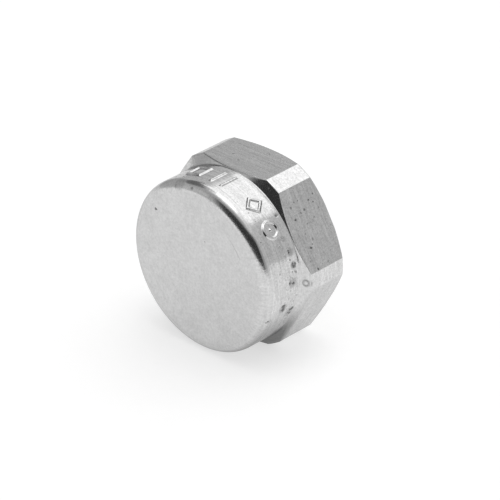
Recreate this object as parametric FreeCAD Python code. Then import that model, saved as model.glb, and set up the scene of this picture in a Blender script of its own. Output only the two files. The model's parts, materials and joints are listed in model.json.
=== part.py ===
"""Female hexagon pipe cap, G 1/2, with its flat sealing washer.

The cap's axis is Y. The open mouth faces +Y and the origin is the middle of the mouth's plane.
The closed end faces -Y. Two of the six flats are level, so the cap lies on the flat that faces -Z.
All lengths are in millimetres and all angles in degrees.
"""
import FreeCAD, Part
import math
import os

# outside of the cap
ACROSS_FLATS = 25.0
CORNER_DIAMETER = 27.55
FACE_DIAMETER = 25.2
HEXAGON_STRAIGHT_END = 6.8
CHAMFER_ANGLE = 30.0
NECK_DIAMETER = 24.8
NECK_ROOT_RADIUS = 0.2
CLOSED_END_RADIUS = 1.4
CAP_LENGTH = 14.2

# thread G 1/2: 14 turns to the inch, 55 degree flanks
PITCH = 25.4 / 14
THREAD_MAJOR_DIAMETER = 20.955
THREAD_MINOR_DIAMETER = 18.631
FLANK_HALF_ANGLE = 27.5
THREAD_END = 8.2

# inside of the cap, as depths from the mouth
MOUTH_CHAMFER_DIAMETER = 21.4
LIP_DEPTH = 9.3
SOCKET_DEPTH = 11.4
WASHER_POCKET_DIAMETER = 19.4

# sealing washer
WASHER_OUTER_DIAMETER = 18.5
WASHER_INNER_DIAMETER = 12.0
WASHER_THICKNESS = 2.0

# raised forging marks around the neck, with no meaning: plain shapes at these angles from +X
MARK_HEIGHT = 0.2
MARK_LENGTH = 3.0
MARK_WIDTH = 2.6
MARK_STROKE = 0.35
MARK_MIDDLE_DEPTH = 10.25
RING_ANGLE = 39.0
DIAMOND_ANGLE = 57.5
TWIN_BAR_ANGLES = (80.0, 88.5)
SQUARE_ANGLE = 104.5

# cutting tools reach this far past the surfaces that they cut
OVERCUT = 2.0
THREAD_TOOL_INSET = 0.25

ORIGIN = FreeCAD.Vector(0, 0, 0)
AXIS = FreeCAD.Vector(0, 1, 0)


def vector(x, y, z=0.0):
    return FreeCAD.Vector(x, y, z)


def disc(diameter, depth_from, depth_to):
    """A cylinder on the cap's axis between two depths from the mouth."""
    base = FreeCAD.Vector(0, -depth_to, 0)
    return Part.makeCylinder(diameter / 2, depth_to - depth_from, base, AXIS)


def revolve(edges):
    """A solid turned about the Y axis from a closed outline in the XY plane."""
    face = Part.Face(Part.Wire(edges))
    return face.revolve(ORIGIN, AXIS, 360)


def line(start, end):
    return Part.LineSegment(start, end).toShape()


def arc(start, middle, end):
    return Part.Arc(start, middle, end).toShape()


def turned_outside():
    """The cap's turned shape: chamfered mouth, corners' diameter, front cone, neck and closed end."""
    slope = math.tan(math.radians(CHAMFER_ANGLE))
    face_radius = FACE_DIAMETER / 2
    corner_radius = CORNER_DIAMETER / 2
    neck_radius = NECK_DIAMETER / 2
    rear_chamfer_depth = (corner_radius - face_radius) * slope
    cone_end_depth = HEXAGON_STRAIGHT_END + (corner_radius - neck_radius) * slope

    # the fillet at the neck's root is tangent to the cone and to the neck
    root_turn = math.radians(90 - CHAMFER_ANGLE)
    tangent = NECK_ROOT_RADIUS * math.tan(root_turn / 2)
    root = vector(neck_radius, -cone_end_depth)
    cone_direction = vector(math.cos(math.radians(CHAMFER_ANGLE)), math.sin(math.radians(CHAMFER_ANGLE)))
    root_on_cone = root + cone_direction * tangent
    root_on_neck = root + vector(0, -tangent)
    root_centre = root_on_neck + vector(NECK_ROOT_RADIUS, 0)
    towards_root = (root - root_centre).normalize()
    root_middle = root_centre + towards_root * NECK_ROOT_RADIUS

    end_centre = vector(neck_radius - CLOSED_END_RADIUS, -CAP_LENGTH + CLOSED_END_RADIUS)
    diagonal = vector(math.sqrt(0.5), -math.sqrt(0.5)) * CLOSED_END_RADIUS

    mouth = vector(face_radius, 0)
    corner_rear = vector(corner_radius, -rear_chamfer_depth)
    corner_front = vector(corner_radius, -HEXAGON_STRAIGHT_END)
    neck_front = vector(neck_radius, end_centre.y)
    end_outer = vector(end_centre.x, -CAP_LENGTH)
    end_middle = vector(0, -CAP_LENGTH)
    outline = [
        line(ORIGIN, mouth),
        line(mouth, corner_rear),
        line(corner_rear, corner_front),
        line(corner_front, root_on_cone),
        arc(root_on_cone, root_middle, root_on_neck),
        line(root_on_neck, neck_front),
        arc(neck_front, end_centre + diagonal, end_outer),
        line(end_outer, end_middle),
        line(end_middle, ORIGIN),
    ]
    return revolve(outline)


def hexagon_bar():
    """A hexagon bar along Y, with two level flats, longer than the cap."""
    corner = ACROSS_FLATS / math.sqrt(3)
    points = []
    for index in range(7):
        angle = math.radians(60 * index)
        points.append(vector(corner * math.cos(angle), -CAP_LENGTH - OVERCUT, corner * math.sin(angle)))
    face = Part.Face(Part.makePolygon(points))
    return face.extrude(AXIS * (CAP_LENGTH + 2 * OVERCUT))


def thread_groove():
    """The groove that the thread leaves in the bore: a trapezoid swept along a right-hand helix."""
    minor_radius = THREAD_MINOR_DIAMETER / 2
    major_radius = THREAD_MAJOR_DIAMETER / 2
    depth = major_radius - minor_radius
    inner_radius = minor_radius - THREAD_TOOL_INSET
    flank = math.tan(math.radians(FLANK_HALF_ANGLE))
    pitch_half_width = PITCH / 4
    root_half_width = pitch_half_width - depth / 2 * flank
    mouth_half_width = pitch_half_width + (depth / 2 + THREAD_TOOL_INSET) * flank

    # made along Z from the thread's end outwards, then laid along Y
    height = THREAD_END + OVERCUT
    helix = Part.makeLongHelix(PITCH, height, minor_radius, 0)
    corners = [
        vector(inner_radius, 0, -mouth_half_width),
        vector(major_radius, 0, -root_half_width),
        vector(major_radius, 0, root_half_width),
        vector(inner_radius, 0, mouth_half_width),
    ]
    profile = Part.makePolygon(corners + corners[:1])
    groove = Part.Wire(helix).makePipeShell([profile], True, True)
    groove.rotate(ORIGIN, FreeCAD.Vector(1, 0, 0), -90)
    groove.translate(FreeCAD.Vector(0, -THREAD_END + mouth_half_width, 0))
    return groove


def socket():
    """The threaded bore with its mouth chamfer, the plain lip behind the thread and the washer's pocket."""
    minor_radius = THREAD_MINOR_DIAMETER / 2
    chamfer_radius = MOUTH_CHAMFER_DIAMETER / 2
    chamfer_depth = chamfer_radius - minor_radius
    chamfer = Part.makeCone(
        minor_radius, chamfer_radius + OVERCUT, chamfer_depth + OVERCUT,
        FreeCAD.Vector(0, -chamfer_depth, 0), AXIS,
    )
    bore = disc(THREAD_MINOR_DIAMETER, -OVERCUT, THREAD_END)
    lip = disc(THREAD_MINOR_DIAMETER, THREAD_END, LIP_DEPTH)
    pocket = disc(WASHER_POCKET_DIAMETER, LIP_DEPTH, SOCKET_DEPTH)
    return [bore, lip, pocket, chamfer, thread_groove()]


def polygon_prism(points):
    """A prism over the top of the neck from an outline given as (across, along) from the mark's middle."""
    base = NECK_DIAMETER / 2 - MARK_LENGTH
    corners = []
    for across, along in points:
        corners.append(vector(across, along - MARK_MIDDLE_DEPTH, base))
    face = Part.Face(Part.makePolygon(corners + corners[:1]))
    return face.extrude(FreeCAD.Vector(0, 0, 2 * MARK_LENGTH))


def framed(outline, side_distance):
    """A frame one stroke wide inside an outline whose sides all lie at one distance from its middle."""
    inner_share = 1 - MARK_STROKE / side_distance
    inner = [(across * inner_share, along * inner_share) for across, along in outline]
    return polygon_prism(outline).cut(polygon_prism(inner))


def bar_prism():
    half_width = MARK_STROKE / 2
    half_length = MARK_LENGTH / 2
    return polygon_prism([
        (-half_width, -half_length), (half_width, -half_length),
        (half_width, half_length), (-half_width, half_length),
    ])


def post(radius):
    """A round post up through the top of the neck."""
    base = FreeCAD.Vector(0, -MARK_MIDDLE_DEPTH, NECK_DIAMETER / 2 - MARK_LENGTH)
    return Part.makeCylinder(radius, 2 * MARK_LENGTH, base, FreeCAD.Vector(0, 0, 1))


def ring_prism():
    """A ring with a dot in its middle."""
    outer_radius = MARK_WIDTH / 2
    ring = post(outer_radius).cut(post(outer_radius - MARK_STROKE))
    return ring.fuse(post(MARK_STROKE / 2))


def diamond_prism():
    half_width = MARK_WIDTH / 2
    half_length = MARK_LENGTH / 2
    outline = [(-half_width, 0), (0, -half_length), (half_width, 0), (0, half_length)]
    side_distance = half_width * half_length / math.hypot(half_width, half_length)
    return framed(outline, side_distance)


def square_prism():
    half = MARK_WIDTH / 2
    outline = [(-half, -half), (half, -half), (half, half), (-half, half)]
    return framed(outline, half)


def raised_marks():
    """Plain raised shapes that follow the neck's curve."""
    placed = [
        (ring_prism(), RING_ANGLE),
        (diamond_prism(), DIAMOND_ANGLE),
        (square_prism(), SQUARE_ANGLE),
    ]
    for angle in TWIN_BAR_ANGLES:
        placed.append((bar_prism(), angle))

    depth_from = MARK_MIDDLE_DEPTH - MARK_LENGTH
    depth_to = MARK_MIDDLE_DEPTH + MARK_LENGTH
    sleeve = disc(NECK_DIAMETER + 2 * MARK_HEIGHT, depth_from, depth_to)
    sleeve = sleeve.cut(disc(NECK_DIAMETER - 2 * MARK_HEIGHT, depth_from, depth_to))
    marks = []
    for prism, angle in placed:
        mark = prism.common(sleeve)
        mark.rotate(ORIGIN, AXIS, 90 - angle)
        marks.append(mark)
    return marks


def cap_body():
    body = turned_outside().common(hexagon_bar())
    for mark in raised_marks():
        body = body.fuse(mark)
    for tool in socket():
        body = body.cut(tool)
    return body


def sealing_washer():
    """A flat ring that lies on the floor of the socket."""
    top = SOCKET_DEPTH - WASHER_THICKNESS
    ring = disc(WASHER_OUTER_DIAMETER, top, SOCKET_DEPTH)
    return ring.cut(disc(WASHER_INNER_DIAMETER, top, SOCKET_DEPTH))


def single_solid(shape, name):
    """The one solid that a node holds."""
    if len(shape.Solids) != 1 or not shape.isValid():
        raise RuntimeError(name + " is not one valid solid")
    return shape.Solids[0]


def main():
    os.makedirs("parts", exist_ok=True)
    nodes = {"cap_body": cap_body(), "sealing_washer": sealing_washer()}
    for name, shape in nodes.items():
        solid = single_solid(shape, name)
        solid.exportStep("parts/" + name + ".step")
        middle = solid.CenterOfMass
        print(name, round(solid.Volume, 1), "mm3, centre of mass at y =", round(middle.y, 3))


main()
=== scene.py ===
import json
import math

import bpy
import numpy as np
from mathutils import Matrix, Vector, noise


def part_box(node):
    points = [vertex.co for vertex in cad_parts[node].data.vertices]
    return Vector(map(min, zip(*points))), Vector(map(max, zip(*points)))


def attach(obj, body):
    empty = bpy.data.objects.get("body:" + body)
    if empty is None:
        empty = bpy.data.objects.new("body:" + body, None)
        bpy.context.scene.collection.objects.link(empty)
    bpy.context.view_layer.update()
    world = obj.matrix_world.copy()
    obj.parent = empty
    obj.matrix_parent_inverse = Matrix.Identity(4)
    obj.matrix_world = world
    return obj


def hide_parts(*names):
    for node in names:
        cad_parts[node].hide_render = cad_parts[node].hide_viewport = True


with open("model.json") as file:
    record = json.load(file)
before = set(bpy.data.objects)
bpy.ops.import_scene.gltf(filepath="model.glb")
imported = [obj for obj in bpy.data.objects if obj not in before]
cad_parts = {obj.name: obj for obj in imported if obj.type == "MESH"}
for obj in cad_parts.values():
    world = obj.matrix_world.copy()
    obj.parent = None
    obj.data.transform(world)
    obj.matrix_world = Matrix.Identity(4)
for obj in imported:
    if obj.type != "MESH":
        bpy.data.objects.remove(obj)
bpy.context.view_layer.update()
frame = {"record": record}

MM = 0.001

# ---------------------------- sizes that the frame states
cap_low, cap_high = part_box("cap_body")
washer_low, washer_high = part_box("sealing_washer")
mounts = {mount["name"]: mount for mount in frame["record"]["mounts"]}

HALF_FLATS = -cap_low.z
CORNER_RADIUS = cap_high.x
CAP_LENGTH = -cap_low.y
MINOR_RADIUS = mounts["pipe_thread"]["dims"]["r_mm"] * MM
SOCKET_DEPTH = -washer_low.y
WASHER_TOP_DEPTH = -washer_high.y
WASHER_RADIUS = washer_high.x

# ---------------------------- other sizes, the same as the part's own
MOUTH_RADIUS = 12.6 * MM
NECK_RADIUS = 12.4 * MM
END_RADIUS = 1.4 * MM
CONE_SLOPE = math.tan(math.radians(30))
HEXAGON_STRAIGHT_END = 6.8 * MM

PITCH = 25.4 / 14 * MM
MAJOR_RADIUS = 20.955 / 2 * MM
# the depth of the groove's middle at the thread's inner end, which is on the +X side
GROOVE_DEPTH_AT_X = 7.31 * MM
THREAD_END_DEPTH = 8.2 * MM
LIP_DEPTH = 9.3 * MM
POCKET_RADIUS = 9.7 * MM
MOUTH_CHAMFER_RADIUS = 10.7 * MM
WASHER_HOLE_RADIUS = 6.0 * MM

MARK_HEIGHT = 0.2 * MM
MARK_DEPTH = 10.25 * MM
MARK_HALF_LENGTH = 1.5 * MM
MARK_HALF_WIDTH = 1.3 * MM
MARK_STROKE = 0.35 * MM
MARKS = [("ring", 39.0), ("diamond", 57.5), ("bar", 80.0), ("bar", 88.5), ("square", 104.5)]

# ---------------------------- softening and unevenness of the real surface
# widths over which edges are rounded, at their widest for EDGE_BREAK
EDGE_BREAK = 0.22 * MM
EDGE_BREAK_LOSS = 0.65
STRIP_BREAK = 0.006 * MM
RIM_BREAK = 0.03 * MM
# the fillet's radius at the neck's root, along the top and elsewhere
ROOT_BREAK = 0.06 * MM
ROOT_FILLET = 0.9 * MM
MARK_SOFTNESS = 0.06 * MM
MARK_MARGIN = 0.12 * MM
THREAD_FADE = 1.0 * MM
# the face's rim falls off over this width, until it slopes by this many degrees
FACE_RIM_WIDTH = 0.7 * MM
FACE_EDGE_TURN = 12
# unevenness of the face and the neck
SWELL = 0.012 * MM
SWELL_LENGTH = 2.5 * MM
# raggedness of the outlines of pits and spots: its wave length, and how far it moves them
RAGGED_LENGTH = 0.3 * MM
RAGGED_SHARE = 0.35
RAGGED_SHIFT = 0.35 * MM
# how dark the painted shade is in the root and on the neck, underneath
ROOT_PAINTED_SHADE = 0.85
NECK_PAINTED_SHADE = 0.5

# ---------------------------- view: angles in degrees, lengths in metres, the lens in millimetres
AZIMUTH = 43.12
ELEVATION = 28.68
ROLL = 0.65
CAMERA_DISTANCE = 0.4492
LENS = 239.4
AIM = Vector((-1.18, -2.79, -2.25)) * MM

# material slots of the cap, in the order that its faces name them
FACE, EDGE, NECK, FLATS, RUBBED_AND_PAINTED_LIGHT, TURNED, THREAD = range(7)


# ---------------------------- mesh building
class Rings:
    """A surface built ring by ring about the Y axis. Depths run from the mouth towards the closed end."""

    def __init__(self):
        self.points = []
        self.faces = []
        self.slots = []
        self.pits_and_painted_shade = []

    def ring(self, radius, angle, depth, pits_and_painted_shade=0.0):
        """Adds a ring of points and returns their numbers.

        The last argument is how dark pits and the painted shade underneath make each point, from 0 to 1.
        """
        first = len(self.points)
        radius, angle, depth, pits_and_painted_shade = np.broadcast_arrays(radius, angle, depth, pits_and_painted_shade)
        places = np.column_stack([radius * np.cos(angle), -depth, radius * np.sin(angle)])
        self.points.extend(places.tolist())
        self.pits_and_painted_shade.extend(pits_and_painted_shade.tolist())
        return list(range(first, len(self.points)))

    def join(self, near, far, slots):
        """Faces between two rings. One may have a whole fraction of the other's points, or only one."""
        counts = sorted([len(near), len(far)])
        count = counts[0] if counts[0] > 1 else counts[1]
        slots = np.broadcast_to(slots, count)
        for i in range(count):
            self.faces.append(self.side(far, i, count) + self.side(near, i, count)[::-1])
            self.slots.append(int(slots[i]))
        return far

    @staticmethod
    def side(ring, index, count):
        """The ring's points along one face's edge."""
        if len(ring) == 1:
            return ring
        step = len(ring) // count
        return [ring[(index * step + k) % len(ring)] for k in range(step + 1)]

    def skin(self, rings, slots):
        """Faces between each ring and the next. Returns the last ring."""
        for near, far in zip(rings, rings[1:]):
            self.join(near, far, slots)
        return rings[-1]

    def object(self, name, materials):
        mesh = bpy.data.meshes.new(name)
        mesh.from_pydata(self.points, [], self.faces)
        for material in materials:
            mesh.materials.append(material)
        mesh.polygons.foreach_set("material_index", self.slots)
        pits_and_painted_shade = mesh.attributes.new("pits_and_painted_shade", "FLOAT", "POINT")
        pits_and_painted_shade.data.foreach_set("value", self.pits_and_painted_shade)
        mesh.shade_smooth()
        mesh.update()
        piece = bpy.data.objects.new(name, mesh)
        bpy.context.scene.collection.objects.link(piece)
        return piece


def soft_min(a, b, width):
    """The lower of two heights, with the corner between them rounded over a width."""
    overlap = np.maximum(width - np.abs(a - b), 0) / width
    return np.minimum(a, b) - overlap * overlap * width / 4


def smooth_step(low, high, value):
    share = np.clip((value - low) / (high - low), 0, 1)
    return share * share * (3 - 2 * share)


def turn_from(angle, degrees):
    """Angle from a direction given in degrees, between -pi and pi."""
    return (angle - math.radians(degrees) + math.pi) % (2 * math.pi) - math.pi


def wave(radius, angle, depth, length, seed):
    """Smooth noise between about -1 and 1, the same on each run."""
    radius, angle, depth = np.broadcast_arrays(radius, angle, depth)
    x, y, z = radius * np.cos(angle) / length, -depth / length, radius * np.sin(angle) / length
    return np.array([noise.noise(Vector((a + seed, b, c))) for a, b, c in zip(x, y, z)])


# ---------------------------- outside of the cap
# the columns are close together between these angles in degrees
FINE_FROM, FINE_TO = -45, 114
FINE_COLUMNS, COARSE_COLUMNS = 418, 158


def column_angles():
    """The outside's columns in radians, closer near the pits and marks, and half a strip's angle."""
    half_strip = math.radians(30) - math.acos(HALF_FLATS / CORNER_RADIUS)
    edges = [math.radians(60 * k) + side * half_strip for k in range(6) for side in (-1, 1)]
    fine = np.linspace(FINE_FROM, FINE_TO, FINE_COLUMNS, endpoint=False)
    coarse = np.linspace(FINE_TO, FINE_FROM + 360, COARSE_COLUMNS, endpoint=False)
    angles = np.radians(np.concatenate([fine, coarse]))
    for edge in edges:
        nearest = np.abs((angles - edge + math.pi) % (2 * math.pi) - math.pi).argmin()
        angles[nearest] = edge
    beside = [edge + side * math.radians(0.2) for edge in edges for side in (-1, 1)]
    return np.sort(np.concatenate([angles, beside]) % (2 * math.pi)), half_strip


ANGLES, HALF_STRIP = column_angles()
INNER_ANGLES = ANGLES[::3]


def prism_radius(angle):
    """Distance from the axis to the hexagon with its turned corner strips."""
    from_flat = angle % math.radians(60) - math.radians(30)
    return soft_min(HALF_FLATS / np.cos(from_flat), CORNER_RADIUS, STRIP_BREAK)


def root_radius(angle):
    """The fillet's radius at the neck's root: tiny along the top, wide on the sides and underneath."""
    from_top = np.abs(turn_from(angle, 90))
    widening = smooth_step(math.radians(68), math.radians(82), from_top)
    return ROOT_BREAK + (ROOT_FILLET - ROOT_BREAK) * widening


# the fillet at each column of the outside: its radius, the depth of the sharp corner that it rounds, and the
# depths where it meets the neck and the cone
ROOT_RADIUS = root_radius(ANGLES)
ROOT_DEPTH = HEXAGON_STRAIGHT_END + (CORNER_RADIUS - NECK_RADIUS) * CONE_SLOPE
FILLET_END = ROOT_DEPTH + ROOT_RADIUS * CONE_SLOPE
FILLET_START = ROOT_DEPTH - ROOT_RADIUS * CONE_SLOPE / 2


def front_radius(depth):
    """Radius of the neck, its root's fillet and the front cone, at each column."""
    cone = CORNER_RADIUS - (depth - HEXAGON_STRAIGHT_END) / CONE_SLOPE
    below = np.clip(FILLET_END - depth, 0, ROOT_RADIUS)
    fillet = NECK_RADIUS + ROOT_RADIUS - np.sqrt(ROOT_RADIUS ** 2 - below ** 2)
    return np.where(depth < FILLET_START, cone, fillet)


def edge_break(angle):
    """How wide the cones' edges are rounded: more along the top flat than elsewhere."""
    from_top = np.abs(turn_from(angle, 90))
    narrowing = smooth_step(math.radians(28), math.radians(42), from_top)
    return EDGE_BREAK * (1 - EDGE_BREAK_LOSS * narrowing)


def collar_radius(depth):
    """Radius of the hexagon collar with both its cones and their broken edges, at each column."""
    rear_cone = MOUTH_RADIUS + depth / CONE_SLOPE
    front = soft_min(prism_radius(ANGLES), front_radius(depth), edge_break(ANGLES))
    return soft_min(front, rear_cone, edge_break(ANGLES))


def mark_shapes(across, along):
    """How much each kind of mark stands up, from 0 to 1."""
    def stroke(outside):
        return 1 - smooth_step(-MARK_SOFTNESS, MARK_SOFTNESS, outside)

    half_stroke = MARK_STROKE / 2
    from_middle = np.hypot(across, along)
    ring = stroke(np.abs(from_middle - MARK_HALF_WIDTH + half_stroke) - half_stroke)
    bar = stroke(np.maximum(np.abs(across) - half_stroke, np.abs(along) - MARK_HALF_LENGTH))
    side_length = math.hypot(MARK_HALF_WIDTH, MARK_HALF_LENGTH)
    to_side = (np.abs(across) * MARK_HALF_LENGTH + np.abs(along) * MARK_HALF_WIDTH) / side_length
    diamond = to_side - MARK_HALF_WIDTH * MARK_HALF_LENGTH / side_length + half_stroke
    square = np.maximum(np.abs(across), np.abs(along)) - MARK_HALF_WIDTH + half_stroke
    return {
        "ring": np.maximum(ring, stroke(from_middle - half_stroke)),
        "bar": bar,
        "diamond": stroke(np.abs(diamond) - half_stroke),
        "square": stroke(np.abs(square) - half_stroke),
    }


def raised_marks(angle, depth):
    """Height of the plain forging marks above the neck."""
    height = np.zeros(angle.shape)
    if np.min(np.abs(depth - MARK_DEPTH)) > MARK_HALF_LENGTH + MARK_SOFTNESS:
        return height
    for name, degrees in MARKS:
        turn = turn_from(angle, degrees)
        shown = mark_shapes(NECK_RADIUS * np.sin(turn), depth - MARK_DEPTH)[name]
        height = np.maximum(height, np.where(np.abs(turn) < 1, shown, 0))
    return height * MARK_HEIGHT


# clusters of forging pits: degrees around the axis, then depth from the mouth, how far they spread and the
# largest pit's radius in millimetres, and how many
PIT_CLUSTERS = [
    (45, 8.1, 0.1, 0.25, 1),
    (31, 9.0, 0.2, 0.14, 2),
    (22, 8.6, 0.35, 0.2, 4),
    (13, 8.5, 0.35, 0.22, 5),
    (2, 9.0, 0.5, 0.2, 4),
    (-14, 10.5, 0.5, 0.4, 4),
    (-20, 9.0, 0.6, 0.36, 5),
    (-19, 13.0, 0.3, 0.2, 2),
]
# finer pits, spread over a range: degrees from and to, depth from and to in millimetres, and how many
PIT_FIELDS = [
    (-30, 28, 8.0, 10.5, 26),
    (-30, -8, 8.2, 11.0, 24),
    (0, 14, 8.0, 12.0, 12),
    (95, 330, 8.0, 12.5, 50),
]
# a shallow ring left by a bubble: degrees, depth, radius, line width and how deep
BUBBLE = (-0.5, 7.2, 0.4, 0.13, 0.05)


def forging_pits():
    """Every pit: degrees around the axis, then depth from the mouth, radius and sink in millimetres."""
    rng = np.random.default_rng(7)
    pits = []
    for low, high, shallow, deep, count in PIT_FIELDS:
        for _ in range(count):
            place = rng.uniform(low, high), rng.uniform(shallow, deep)
            pits.append((*place, rng.uniform(0.06, 0.14), rng.uniform(0.01, 0.05)))
    for degrees, depth, spread, largest, count in PIT_CLUSTERS:
        for _ in range(count):
            around, along = rng.uniform(-spread, spread, 2)
            share = rng.uniform(0.5, 1.0)
            place = degrees + math.degrees(around * MM / NECK_RADIUS), depth + along
            pits.append((*place, largest * share, 0.1 * share))
    return pits


PITS = forging_pits()


def pitted(radius, angle, depth, stretch=1.0):
    """How far ragged pits sink a ring of the outside, and how dark each point is, from 0 to 1.

    stretch is the length along the surface for each length of depth.
    """
    sunk = np.zeros(angle.shape)
    pits_and_painted_shade = np.zeros(angle.shape)
    depth = np.broadcast_to(depth, angle.shape)
    ragged = 1 + RAGGED_SHARE * wave(radius, angle, depth, RAGGED_LENGTH, 5)
    for degrees, pit_depth, pit_radius, pit_sink in PITS:
        away = np.hypot(turn_from(angle, degrees) * radius, (depth - pit_depth * MM) * stretch)
        shape = np.exp(-(away * ragged / (pit_radius * MM)) ** 4)
        sunk = np.maximum(sunk, pit_sink * MM * shape)
        pits_and_painted_shade = np.maximum(pits_and_painted_shade, shape * min(1.0, pit_sink / 0.07))
    degrees, ring_depth, ring_radius, line, sink = BUBBLE
    away = np.hypot(turn_from(angle, degrees) * radius, (depth - ring_depth * MM) * stretch)
    shape = np.exp(-((away - ring_radius * MM) / (line * MM)) ** 2)
    return np.maximum(sunk, sink * MM * shape), np.maximum(pits_and_painted_shade, shape * 0.75)


def painted_underside_shade(angle, depth):
    """How dark the painted shade makes the underside, from 0 to 1: the neck a little, and its root most of
    all.
    """
    underside = smooth_step(math.radians(75), math.radians(45), np.abs(turn_from(angle, -90)))
    beside_root = smooth_step(2.4 * MM, 0.4 * MM, np.abs(depth - ROOT_DEPTH))
    on_neck = smooth_step(ROOT_DEPTH - 0.5 * MM, ROOT_DEPTH, depth)
    return underside * np.maximum(ROOT_PAINTED_SHADE * beside_root, NECK_PAINTED_SHADE * on_neck)


def rim_drop(radius):
    """How far the face's rim falls off, until its slope is the one that the rounding starts with."""
    reach = max(0.0, radius - (NECK_RADIUS - END_RADIUS - FACE_RIM_WIDTH))
    return reach ** 2 / (2 * FACE_RIM_WIDTH) * math.tan(math.radians(FACE_EDGE_TURN))


def closed_face(cap):
    """The slightly uneven end face, from the axis out to its edge."""
    last = cap.ring(0.0, np.zeros(1), CAP_LENGTH - SWELL)
    edge = NECK_RADIUS - END_RADIUS
    zones = [
        (ANGLES[::12], 0.4 * MM, 2.4 * MM, 5),
        (ANGLES[::3], 2.7 * MM, 10.0 * MM, 20),
        (ANGLES, 10.2 * MM, edge, 8),
    ]
    for angle, start, end, count in zones:
        for radius in np.linspace(start, end, count):
            dent = SWELL * (1 + 0.8 * wave(radius, angle, CAP_LENGTH, 4 * MM, 3))
            dent = dent * smooth_step(edge, edge - 2 * MM, radius)
            depth = CAP_LENGTH - dent - rim_drop(radius)
            last = cap.join(last, cap.ring(radius, angle, depth), FACE)
    return last


def rounded_edge(cap, last):
    """The rounding between the face's rim and the neck."""
    first = math.radians(FACE_EDGE_TURN)
    drop = rim_drop(NECK_RADIUS - END_RADIUS)
    for turn in np.linspace(first, math.pi / 2, 17)[1:]:
        out = (math.sin(turn) - math.sin(first)) / (1 - math.sin(first))
        back = (math.cos(first) - math.cos(turn)) / math.cos(first)
        depth = CAP_LENGTH - drop - (END_RADIUS - drop) * back
        swell = SWELL * (1 - wave(NECK_RADIUS, ANGLES, depth, SWELL_LENGTH, 11)) * out
        sunk, pits_and_painted_shade = pitted(NECK_RADIUS, ANGLES, depth)
        # painted shade on the underside, added to the pits' darkness
        pits_and_painted_shade = np.maximum(pits_and_painted_shade, painted_underside_shade(ANGLES, depth) * out ** 3)
        radius = NECK_RADIUS - END_RADIUS * (1 - out) - swell - sunk
        last = cap.join(last, cap.ring(radius, ANGLES, depth, pits_and_painted_shade), EDGE)
    return last


def neck(cap, last):
    """The neck with its marks, from the rounding to the start of its root's fillet."""
    neck_start = CAP_LENGTH - END_RADIUS
    marks_start = MARK_DEPTH + MARK_HALF_LENGTH + MARK_MARGIN
    marks_end = MARK_DEPTH - MARK_HALF_LENGTH - MARK_MARGIN
    depths = [
        *np.linspace(neck_start, marks_start, 8)[1:],
        *np.linspace(marks_start, marks_end, 40)[1:],
        *np.linspace(marks_end, FILLET_END, 9)[1:],
    ]
    for depth in depths:
        swell = SWELL * (1 - wave(NECK_RADIUS, ANGLES, depth, SWELL_LENGTH, 11))
        swell = swell * smooth_step(FILLET_END, FILLET_END + 1 * MM, depth)
        sunk, pits_and_painted_shade = pitted(NECK_RADIUS, ANGLES, depth)
        # painted shade on the underside, added to the pits' darkness
        pits_and_painted_shade = np.maximum(pits_and_painted_shade, painted_underside_shade(ANGLES, depth))
        radius = NECK_RADIUS - swell - sunk + raised_marks(ANGLES, depth)
        last = cap.join(last, cap.ring(radius, ANGLES, depth, pits_and_painted_shade), NECK)
    return last


def collar_ring(cap, depth):
    """One ring of the collar. Its depths may differ from column to column."""
    on_cone = front_radius(depth) < prism_radius(ANGLES)
    stretch = np.where(on_cone, 1 / math.sin(math.radians(30)), 1.0)
    sunk, pits_and_painted_shade = pitted(HALF_FLATS, ANGLES, depth, stretch)
    # painted shade on the underside and in the root, added to the pits' darkness
    pits_and_painted_shade = np.maximum(pits_and_painted_shade, painted_underside_shade(ANGLES, depth))
    return cap.ring(collar_radius(depth) - sunk, ANGLES, depth, pits_and_painted_shade)


def front_cone(cap, last, front_edge):
    """The fillet at the neck's root and the cone up to each flat's or strip's front edge."""
    for share in np.append(np.linspace(0.05, 0.86, 13), [0.9, 0.94, 0.97, 1.0]):
        depth = FILLET_END + (front_edge - FILLET_END) * share
        last = cap.join(last, collar_ring(cap, depth), TURNED)
    return last


def flats_and_strips(cap, last, front_edge, rear_edge):
    """The hexagon's sides between the two cones' edges. The strips are rubbed, and the lower flats share
    their brighter plating as painted light.
    """
    on_strip = np.abs((ANGLES + math.pi / 6) % (math.pi / 3) - math.pi / 6) < HALF_STRIP - 1e-5
    on_lower_flat = ANGLES > math.pi
    # the lower flats take the brighter plating as painted light
    slots = np.where(on_strip | np.roll(on_strip, -1) | on_lower_flat, RUBBED_AND_PAINTED_LIGHT, FLATS)
    beside_edge = np.array([0.02, 0.05, 0.09, 0.15]) * MM
    rings = [last]
    for inset in beside_edge:
        rings.append(collar_ring(cap, front_edge - inset))
    middle_start, middle_end = front_edge - beside_edge[-1], rear_edge + beside_edge[-1]
    for share in np.linspace(0, 1, 16)[1:]:
        rings.append(collar_ring(cap, middle_start + (middle_end - middle_start) * share))
    for inset in beside_edge[-2::-1]:
        rings.append(collar_ring(cap, rear_edge + inset))
    return cap.skin(rings, slots)


def rear_cone_and_mouth_face(cap, last, rear_edge):
    """The rear cone and the flat ring around the mouth."""
    rings = [last]
    for share in [0.0, 0.05, 0.12, 0.25, 0.5]:
        rings.append(collar_ring(cap, rear_edge * (1 - share)))
    rings.append(collar_ring(cap, RIM_BREAK))
    rim = collar_radius(RIM_BREAK) - RIM_BREAK
    for radius in [rim, rim - RIM_BREAK, rim - 0.3 * MM, MOUTH_CHAMFER_RADIUS + 0.6 * MM]:
        rings.append(cap.ring(radius, ANGLES, 0.0))
    return cap.skin(rings, TURNED)


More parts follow.
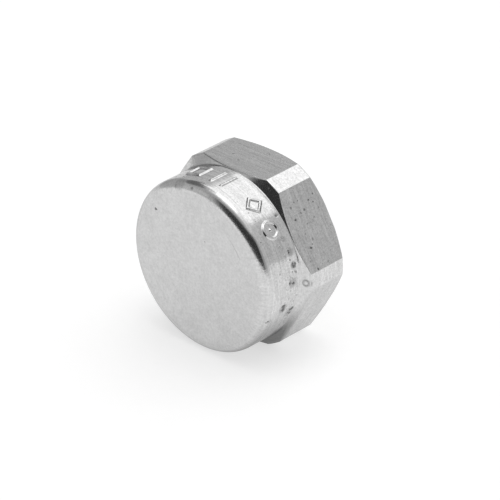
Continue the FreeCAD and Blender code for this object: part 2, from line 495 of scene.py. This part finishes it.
def outside_of_cap(cap):
    prism = prism_radius(ANGLES)
    front_edge = HEXAGON_STRAIGHT_END + (CORNER_RADIUS - prism) * CONE_SLOPE
    rear_edge = np.maximum((prism - MOUTH_RADIUS) * CONE_SLOPE, 3 * RIM_BREAK)
    last = neck(cap, rounded_edge(cap, closed_face(cap)))
    last = front_cone(cap, last, front_edge)
    last = flats_and_strips(cap, last, front_edge, rear_edge)
    return rear_cone_and_mouth_face(cap, last, rear_edge)


# ---------------------------- inside of the cap
def thread_radius(angle, depth):
    """Radius of the rounded 55 degree thread, a right-hand helix that fades out before the lip."""
    turns = (depth - GROOVE_DEPTH_AT_X) / PITCH - angle / (2 * math.pi)
    from_groove = np.abs((turns + 0.5) % 1.0 - 0.5) * 2
    cut = 0.5 + 0.5 * np.cos(math.pi * np.clip((from_groove - 0.08) / 0.84, 0, 1))
    fade = 1 - smooth_step(THREAD_END_DEPTH - THREAD_FADE, THREAD_END_DEPTH, depth)
    return MINOR_RADIUS + (MAJOR_RADIUS - MINOR_RADIUS) * cut * fade


def inside_of_cap(cap, last):
    """The mouth's chamfer, the thread, the lip, the washer's pocket and the socket's floor."""
    section = []
    thread_depths = np.arange(0.12 * MM, THREAD_END_DEPTH, 0.15 * MM)
    for depth in np.concatenate([[0.0, RIM_BREAK], thread_depths]):
        chamfer = MOUTH_CHAMFER_RADIUS - depth
        radius = -soft_min(-thread_radius(INNER_ANGLES, depth), -chamfer, EDGE_BREAK)
        section.append((radius, depth))
    for depth in np.linspace(THREAD_END_DEPTH, LIP_DEPTH - RIM_BREAK, 7):
        section.append((MINOR_RADIUS, depth))
    for radius in np.linspace(MINOR_RADIUS + RIM_BREAK, POCKET_RADIUS - RIM_BREAK, 4):
        section.append((radius, LIP_DEPTH))
    for depth in np.linspace(LIP_DEPTH + RIM_BREAK, SOCKET_DEPTH - RIM_BREAK, 8):
        section.append((POCKET_RADIUS, depth))
    for radius in np.linspace(POCKET_RADIUS - RIM_BREAK, 0.5 * MM, 16):
        section.append((radius, SOCKET_DEPTH))
    for radius, depth in section:
        last = cap.join(last, cap.ring(radius, INNER_ANGLES, depth), THREAD)
    cap.join(last, cap.ring(0.0, np.zeros(1), SOCKET_DEPTH), THREAD)


# ---------------------------- nodes
class Graph:
    """Short ways to build a node tree."""

    def __init__(self, owner):
        owner.use_nodes = True
        self.owner = owner
        self.tree = owner.node_tree
        self.tree.nodes.clear()

    def add(self, kind, inputs=None, **settings):
        """A node with its inputs set to values or linked to other nodes' outputs."""
        node = self.tree.nodes.new("ShaderNode" + kind)
        for key, value in settings.items():
            setattr(node, key, value)
        for key, value in (inputs or {}).items():
            if isinstance(value, bpy.types.NodeSocket):
                self.tree.links.new(value, node.inputs[key])
            else:
                node.inputs[key].default_value = value
        return node

    def math(self, operation, *values, clamp=False):
        return self.add("Math", dict(enumerate(values)), operation=operation, use_clamp=clamp).outputs[0]

    def vector(self, operation, *values):
        return self.add("VectorMath", dict(enumerate(values)), operation=operation).outputs[0]

    def measure(self, operation, *values):
        return self.add("VectorMath", dict(enumerate(values)), operation=operation).outputs["Value"]

    def noise(self, vector, scale, detail=2.0):
        inputs = {"Vector": vector, "Scale": scale, "Detail": detail, "Roughness": 0.55}
        return self.add("TexNoise", inputs).outputs["Fac"]

    def ranged(self, value, low, high, to_low, to_high, kind="LINEAR"):
        inputs = {"Value": value, "From Min": low, "From Max": high, "To Min": to_low, "To Max": to_high}
        return self.add("MapRange", inputs, interpolation_type=kind).outputs["Result"]

    def grey(self, value, warmth=0.0):
        red = self.math("MULTIPLY", value, 1 + warmth)
        blue = self.math("MULTIPLY", value, 1 - warmth)
        return self.add("CombineColor", {"Red": red, "Green": value, "Blue": blue}).outputs[0]


class Surface(Graph):
    """A material's node tree."""

    def __init__(self, name):
        super().__init__(bpy.data.materials.new(name))
        self.place = self.add("TexCoord").outputs["Object"]
        shift = self.add("TexNoise", {"Vector": self.place, "Scale": 1 / RAGGED_LENGTH}).outputs["Color"]
        shift = self.vector("MULTIPLY", self.vector("SUBTRACT", shift, (0.5,) * 3), (RAGGED_SHIFT,) * 3)
        self.ragged = self.vector("ADD", self.place, shift)

    def pattern(self, kind, length):
        """Noise that is even, in lines around the axis, in turned rings, or in ticks across an edge."""
        from_axis = self.vector("MULTIPLY", self.place, (1.0, 0.0, 1.0))
        if kind == "around":
            vector = self.vector("MULTIPLY", self.place, (0.04, 1.0, 0.04))
        elif kind == "turned":
            depth = self.add("SeparateXYZ", {0: self.place}).outputs["Y"]
            reach = self.math("ADD", self.measure("LENGTH", from_axis), depth)
            drift = self.vector("MULTIPLY", from_axis, (0.02, 0.0, 0.02))
            vector = self.vector("ADD", self.add("CombineXYZ", {0: reach}).outputs[0], drift)
        elif kind == "ticks":
            around = self.vector("MULTIPLY", self.vector("NORMALIZE", from_axis), (NECK_RADIUS,) * 3)
            vector = self.vector("ADD", around, self.vector("MULTIPLY", self.place, (0.12, 0.12, 0.12)))
        else:
            vector = self.place
        return self.noise(vector, 1 / length)

    def specks(self, spacing, share, size, patch):
        """1 in small dark pits, in a share of the cells, more of them in some patches than in others."""
        cells = self.add("TexVoronoi", {"Vector": self.place, "Scale": 1 / spacing})
        chance = self.add("SeparateColor", {0: cells.outputs["Color"]}).outputs[0]
        here = self.ranged(self.noise(self.place, 1 / patch), 0.4, 0.62, 0.0, 1.0)
        pit = self.math("MULTIPLY", self.ranged(chance, 1 - share, 1.0, 0.0, size / spacing), here)
        inside = self.math("SUBTRACT", pit, cells.outputs["Distance"])
        return self.math("MULTIPLY", inside, 12.0, clamp=True)

    def spot(self, centre, radius):
        """1 within a radius of a place, falling to 0 over a ragged edge."""
        away = self.measure("LENGTH", self.vector("SUBTRACT", self.ragged, tuple(centre)))
        return self.ranged(away, radius * 1.25, radius * 0.75, 0.0, 1.0)

    def scratch(self, middle, reach, width):
        """1 along an arc about the axis through a place, out to a distance on either side of it."""
        from_axis = self.measure("LENGTH", self.vector("MULTIPLY", self.place, (1.0, 0.0, 1.0)))
        aside = self.math("ABSOLUTE", self.math("SUBTRACT", from_axis, math.hypot(middle.x, middle.z)))
        along = self.measure("LENGTH", self.vector("SUBTRACT", self.place, tuple(middle)))
        line = self.ranged(aside, width, width / 2, 0.0, 1.0)
        return self.math("MULTIPLY", line, self.ranged(along, reach, reach / 2, 0.0, 1.0))

    def bump(self, height):
        return self.add("Bump", {"Height": height, "Distance": 1.0, "Strength": 1.0}).outputs["Normal"]

    def finish(self, inputs):
        shader = self.add("BsdfPrincipled", inputs)
        self.add("OutputMaterial", {"Surface": shader.outputs[0]})
        return self.owner


# ---------------------------- materials
# how much of the brightness dirt and the painted shade take away, and how deep they lie
DIRT_AND_SHADE_DARKENS = 0.72
DIRT_AND_SHADE_SINKS = 12e-6


def plated(name, tone, rough, layers, specks=None, spots=(), scratches=(), warmth=0.0):
    """Satin plating.

    Each layer is a kind of pattern, its length, how much it changes the brightness, and its height.
    specks are the spacing, share, size and patch length of small dark pits. Each spot is a place, a
    radius and a strength, and each scratch a middle, a reach, a width and a strength.
    """
    n = Surface(name)
    shade, height = 1.0, 0.0
    for kind, length, change, depth in layers:
        pattern = n.pattern(kind, length)
        shade = n.math("MULTIPLY_ADD", n.math("SUBTRACT", pattern, 0.5), change, shade)
        height = n.math("MULTIPLY_ADD", pattern, depth, height)
    dirt_and_painted_shade = n.add("Attribute", attribute_name="pits_and_painted_shade").outputs["Fac"]
    if specks:
        dirt_and_painted_shade = n.math("MAXIMUM", dirt_and_painted_shade, n.specks(*specks))
    for centre, radius, strength in spots:
        dirt_and_painted_shade = n.math("MAXIMUM", dirt_and_painted_shade, n.math("MULTIPLY", n.spot(centre, radius), strength))
    for middle, reach, width, strength in scratches:
        dirt_and_painted_shade = n.math("MAXIMUM", dirt_and_painted_shade, n.math("MULTIPLY", n.scratch(middle, reach, width), strength))
    # pits, specks, spots and scratches darken as dirt, and the underside as painted shade
    shade = n.math("MULTIPLY", shade, n.math("MULTIPLY_ADD", dirt_and_painted_shade, -DIRT_AND_SHADE_DARKENS, 1.0))
    height = n.math("MULTIPLY_ADD", dirt_and_painted_shade, -DIRT_AND_SHADE_SINKS, height)
    dullness = n.math("SUBTRACT", 1.0, shade)
    return n.finish({
        "Base Color": n.grey(n.math("MULTIPLY", shade, tone, clamp=True), warmth),
        "Metallic": 1.0,
        "Specular Tint": (0.75, 0.75, 0.75, 1.0),
        "Roughness": n.math("MULTIPLY_ADD", dullness, 0.35, rough, clamp=True),
        "Normal": n.bump(height),
    })


def on_flat(degrees, depth):
    """A place on a flat, from its angle around the axis and its depth in millimetres."""
    angle = math.radians(degrees)
    radius = HALF_FLATS / math.cos(angle % math.radians(60) - math.radians(30))
    return Vector((radius * math.cos(angle), -depth * MM, radius * math.sin(angle)))


def on_neck(degrees, depth):
    """A place on the neck, from its angle around the axis and its depth in millimetres."""
    angle = math.radians(degrees)
    return Vector((NECK_RADIUS * math.cos(angle), -depth * MM, NECK_RADIUS * math.sin(angle)))


def neck_smudges():
    """A dark smudge around each cluster of pits: its place, radius and strength."""
    spots = []
    for degrees, depth, spread, *_ in PIT_CLUSTERS:
        spots.append((on_neck(degrees, depth), (spread + 0.2) * MM, 0.38))
    return spots


def flat_pits():
    """Pits in the two flats above the middle, most of them in the side one: place, radius and strength."""
    rng = np.random.default_rng(9)
    spots = []
    for low, high, count in [(6, 50, 17), (70, 110, 3)]:
        for _ in range(count):
            place = on_flat(rng.uniform(low, high), rng.uniform(0.9, 6.3))
            spots.append((place, rng.uniform(0.1, 0.2) * MM, rng.uniform(0.5, 1.0)))
    return spots


def face_plating():
    """The closed face, with one dark dot, a speck and a short scratch."""
    dot = Vector((-7.5, -14.2, 6.3)) * MM
    speck = Vector((1.5, -14.2, 4.6)) * MM
    arc = Vector((7, -14.2, 5.5)) * MM
    layers = [
        ("even", 3 * MM, 0.12, 15e-6),
        ("even", 0.7 * MM, 0.22, 4e-6),
        ("even", 0.3 * MM, 0.3, 1.5e-6),
    ]
    specks = (1.4 * MM, 0.15, 0.12 * MM, 4 * MM)
    spots = [(dot, 0.22 * MM, 0.9), (speck, 0.12 * MM, 0.6)]
    return plated("plated_face", 0.585, 0.2, layers, specks, spots, [(arc, 1.6 * MM, 0.09 * MM, 0.3)])


def edge_plating():
    """The rounding around the face, with smudges at the top."""
    layers = [
        ("even", 2 * MM, 0.2, 14e-6),
        ("ticks", 0.35 * MM, 0.22, 5e-6),
        ("around", 0.4 * MM, 0.3, 4e-6),
        ("even", 0.3 * MM, 0.4, 3e-6),
    ]
    specks = (0.9 * MM, 0.2, 0.15 * MM, 3 * MM)
    spots = [
        (Vector((-4, -14, 11)) * MM, 0.22 * MM, 0.5),
        (Vector((-1, -14, 11.7)) * MM, 0.25 * MM, 0.6),
        (Vector((-3.4, -13.8, 11.4)) * MM, 0.9 * MM, 0.25),
    ]
    return plated("plated_edge", 0.6, 0.2, layers, specks, spots)


def neck_plating():
    """The neck, with fine lines around the axis."""
    layers = [
        ("even", 1.5 * MM, 0.2, 14e-6),
        ("around", 0.4 * MM, 0.6, 7e-6),
        ("even", 0.25 * MM, 0.7, 5e-6),
    ]
    return plated("plated_neck", 0.6, 0.15, layers, (0.6 * MM, 0.3, 0.14 * MM, 3 * MM), neck_smudges())


def flats_plating():
    """The upper flats, duller and more pitted than the rest, and darker than the lower flats as painted
    shade.
    """
    layers = [
        ("even", 1.2 * MM, 0.25, 6e-6),
        ("around", 0.3 * MM, 0.65, 8e-6),
        ("even", 0.25 * MM, 0.85, 6e-6),
    ]
    return plated("plated_flats", 0.54, 0.27, layers, (0.5 * MM, 0.45, 0.15 * MM, 2.5 * MM), flat_pits())


def rubbed_and_painted_light_plating():
    """The turned corner strips, rubbed brighter than the rest, and the lower flats, brighter as painted
    light.
    """
    layers = [
        ("even", 1.5 * MM, 0.2, 8e-6),
        ("around", 0.4 * MM, 0.35, 4e-6),
        ("even", 0.28 * MM, 0.65, 5e-6),
    ]
    return plated("plated_rubbed", 0.64, 0.2, layers, (0.9 * MM, 0.2, 0.14 * MM, 3 * MM))


def turned_plating():
    """Both cones and the mouth's face."""
    layers = [
        ("turned", 0.25 * MM, 0.45, 7e-6),
        ("even", 0.4 * MM, 0.5, 5e-6),
    ]
    return plated("plated_turned", 0.6, 0.16, layers, (0.8 * MM, 0.25, 0.12 * MM, 3 * MM))


def thread_plating():
    """The inside, a little warmer, as if some brass showed through."""
    layers = [
        ("around", 0.3 * MM, 0.3, 3e-6),
        ("even", 0.8 * MM, 0.3, 6e-6),
    ]
    return plated("plated_thread", 0.56, 0.26, layers, warmth=0.05)


def cap_materials():
    """The cap's materials, in the order of its slots."""
    return [
        face_plating(), edge_plating(), neck_plating(), flats_plating(),
        rubbed_and_painted_light_plating(), turned_plating(), thread_plating(),
    ]


def rubber():
    """Black moulded rubber."""
    n = Surface("washer_rubber")
    clouds = n.noise(n.place, 700.0, 4.0)
    grain = n.noise(n.place, 9000.0)
    return n.finish({
        "Base Color": n.grey(n.ranged(clouds, 0.3, 0.7, 0.016, 0.034)),
        "Roughness": n.ranged(clouds, 0.3, 0.7, 0.62, 0.8),
        "Normal": n.bump(n.math("MULTIPLY_ADD", clouds, 8e-6, n.math("MULTIPLY", grain, 6e-6))),
    })


# how bright the paper glows, as painted light filling in its shadow
FLOOR_GLOW = 0.6


def floor_paper():
    """White paper that glows, as painted light, so that hardly any shadow is left beside the cap; it does
    not glow in a square under the cap, so that the cap's underside still reflects a dark floor there.
    """
    n = Surface("floor_paper")
    fibres = n.noise(n.place, 900.0, 3.0)
    # the square under the cap where the paper's painted glow drops to nothing
    middle = (-1 * MM, -6.5 * MM, cap_low.z)
    half_size = (4.5 * MM, 4.5 * MM, 1.0)
    offset = n.vector("DIVIDE", n.vector("ABSOLUTE", n.vector("SUBTRACT", n.place, middle)), half_size)
    across = n.add("SeparateXYZ", {0: offset})
    outside = n.math("MAXIMUM", across.outputs["X"], across.outputs["Y"])
    return n.finish({
        "Base Color": n.grey(n.ranged(fibres, 0.3, 0.7, 0.5, 0.52)),
        "Roughness": 0.9,
        "Specular IOR Level": 0.1,
        "Emission Color": (1.0, 1.0, 1.0, 1.0),
        "Emission Strength": n.ranged(outside, 0.75, 1.1, 0.0, FLOOR_GLOW, "SMOOTHSTEP"),
        "Normal": n.bump(n.math("MULTIPLY", fibres, 2e-6)),
    })


# ---------------------------- pieces
def build_cap():
    cap = Rings()
    inside_of_cap(cap, outside_of_cap(cap))
    piece = cap.object("cap_plated_forging", cap_materials())
    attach(piece, "cap")
    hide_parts("cap_body")


def washer_outline():
    """The ring's section, with rounded edges, as radius and depth pairs."""
    edge = 0.15 * MM
    corners = [
        (WASHER_RADIUS - edge, WASHER_TOP_DEPTH + edge, 90),
        (WASHER_RADIUS - edge, SOCKET_DEPTH - edge, 0),
        (WASHER_HOLE_RADIUS + edge, SOCKET_DEPTH - edge, -90),
        (WASHER_HOLE_RADIUS + edge, WASHER_TOP_DEPTH + edge, -180),
    ]
    rounded = []
    for radius, depth, start in corners:
        for turn in np.radians(np.linspace(start, start - 90, 5)):
            rounded.append((radius + edge * math.cos(turn), depth - edge * math.sin(turn)))
    outline = []
    for (r0, d0), (r1, d1) in zip(rounded, rounded[1:] + rounded[:1]):
        steps = max(1, round(math.hypot(r1 - r0, d1 - d0) / (0.35 * MM)))
        for i in range(steps):
            outline.append((r0 + (r1 - r0) * i / steps, d0 + (d1 - d0) * i / steps))
    return outline


def build_washer():
    """A flat moulded rubber ring."""
    washer = Rings()
    angle = np.arange(180) * (2 * math.pi / 180)
    rings = [washer.ring(radius, angle, depth) for radius, depth in washer_outline()]
    washer.skin(rings[::-1] + rings[-1:], 0)
    piece = washer.object("washer_rubber_ring", [rubber()])
    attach(piece, "washer")
    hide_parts("sealing_washer")


def build_floor():
    half, height = 3.0, cap_low.z
    corners = [(-half, -half, height), (half, -half, height), (half, half, height), (-half, half, height)]
    mesh = bpy.data.meshes.new("floor")
    mesh.from_pydata(corners, [], [(0, 1, 2, 3)])
    mesh.materials.append(floor_paper())
    floor = bpy.data.objects.new("floor", mesh)
    bpy.context.scene.collection.objects.link(floor)


# ---------------------------- camera and light
def direction(azimuth, elevation):
    """A direction by azimuth from straight away, with right as positive, and elevation, both in degrees."""
    a, e = math.radians(azimuth - AZIMUTH), math.radians(elevation)
    return Vector((math.sin(a) * math.cos(e), math.cos(a) * math.cos(e), math.sin(e)))


def build_camera():
    data = bpy.data.cameras.new("camera")
    data.lens = LENS
    data.sensor_width = 36.0
    data.clip_start = 0.01
    data.clip_end = 20.0
    camera = bpy.data.objects.new("camera", data)
    bpy.context.scene.collection.objects.link(camera)
    camera.location = direction(180, ELEVATION) * CAMERA_DISTANCE
    level = (AIM - camera.location).to_track_quat("-Z", "Y").to_matrix()
    camera.rotation_euler = (level @ Matrix.Rotation(math.radians(-ROLL), 3, "Z")).to_euler()
    bpy.context.scene.camera = camera


def build_softbox():
    """A large soft lamp overhead."""
    distance, size, radiance = 0.9, 0.5, 0.9
    data = bpy.data.lights.new("overhead_softbox", "AREA")
    data.shape = "SQUARE"
    data.size = size
    data.energy = radiance * math.pi * size * size
    lamp = bpy.data.objects.new("overhead_softbox", data)
    lamp.location = (0, 0, distance)
    bpy.context.scene.collection.objects.link(lamp)


# the brightness all around, and then each card: its brightness, middle azimuth, half width, lowest and
# highest elevation and softness, in degrees. A later card covers the ones before it.
STUDIO_HORIZON = 0.68
STUDIO = [
    (0.50, -65, 45, -20, 50, 14),
    (0.64, -96, 15, -20, 28, 8),
    (0.68, 100, 26, -20, 42, 12),
    (0.40, 140, 14, -20, 42, 10),
    (0.85, 145, 45, 44, 62, 8),
    (0.50, -145, 45, 44, 62, 8),
    (1.45, 38, 62, 47, 90, 6),
    (1.45, 38, 39, 37, 50, 5),
    (0.04, -162, 48, -20, 42, 6),
    (0.15, -40, 36, 32, 46, 6),
    (0.15, -52, 27, 44, 57, 8),
    (1.15, 180, 110, 60, 90, 8),
    (1.50, 0, 180, 74, 90, 6),
]


class Studio(Graph):
    """The world's background: cards and soft boxes with blurred sides, seen from the object."""

    def __init__(self):
        super().__init__(bpy.data.worlds.new("studio"))
        self.place = self.add("TexCoord").outputs["Generated"]
        height = self.add("SeparateXYZ", {0: self.place}).outputs["Z"]
        self.elevation = self.math("DEGREES", self.math("ARCSINE", height))
        level = STUDIO_HORIZON
        for brightness, *limits in STUDIO:
            inputs = {"Factor": self.window(*limits), "A": level, "B": brightness}
            level = self.add("Mix", inputs).outputs["Result"]
        background = self.add("Background", {"Color": self.grey(level)})
        self.add("OutputWorld", {"Surface": background.outputs[0]})
        bpy.context.scene.world = self.owner

    def beyond(self, value, edge, soft):
        """0 below the edge and 1 above it, blurred over a width."""
        return self.ranged(value, edge - soft / 2, edge + soft / 2, 0.0, 1.0, "SMOOTHSTEP")

    def window(self, azimuth, half_width, low, high, soft):
        """1 within a range of azimuth and of elevation."""
        sideways = self.measure("DOT_PRODUCT", self.place, direction(azimuth + 90, 0))
        ahead = self.measure("DOT_PRODUCT", self.place, direction(azimuth, 0))
        turn = self.math("DEGREES", self.math("ABSOLUTE", self.math("ARCTAN2", sideways, ahead)))
        beside = self.beyond(turn, half_width, soft) if half_width < 180 else 0.0
        over = self.beyond(self.elevation, high, soft) if high < 90 else 0.0
        within = self.math("SUBTRACT", self.beyond(self.elevation, low, soft), over)
        return self.math("MULTIPLY", self.math("SUBTRACT", 1.0, beside), within)


build_cap()
build_washer()
build_floor()
build_camera()
build_softbox()
Studio()
bpy.context.scene.view_settings.view_transform = "Standard"
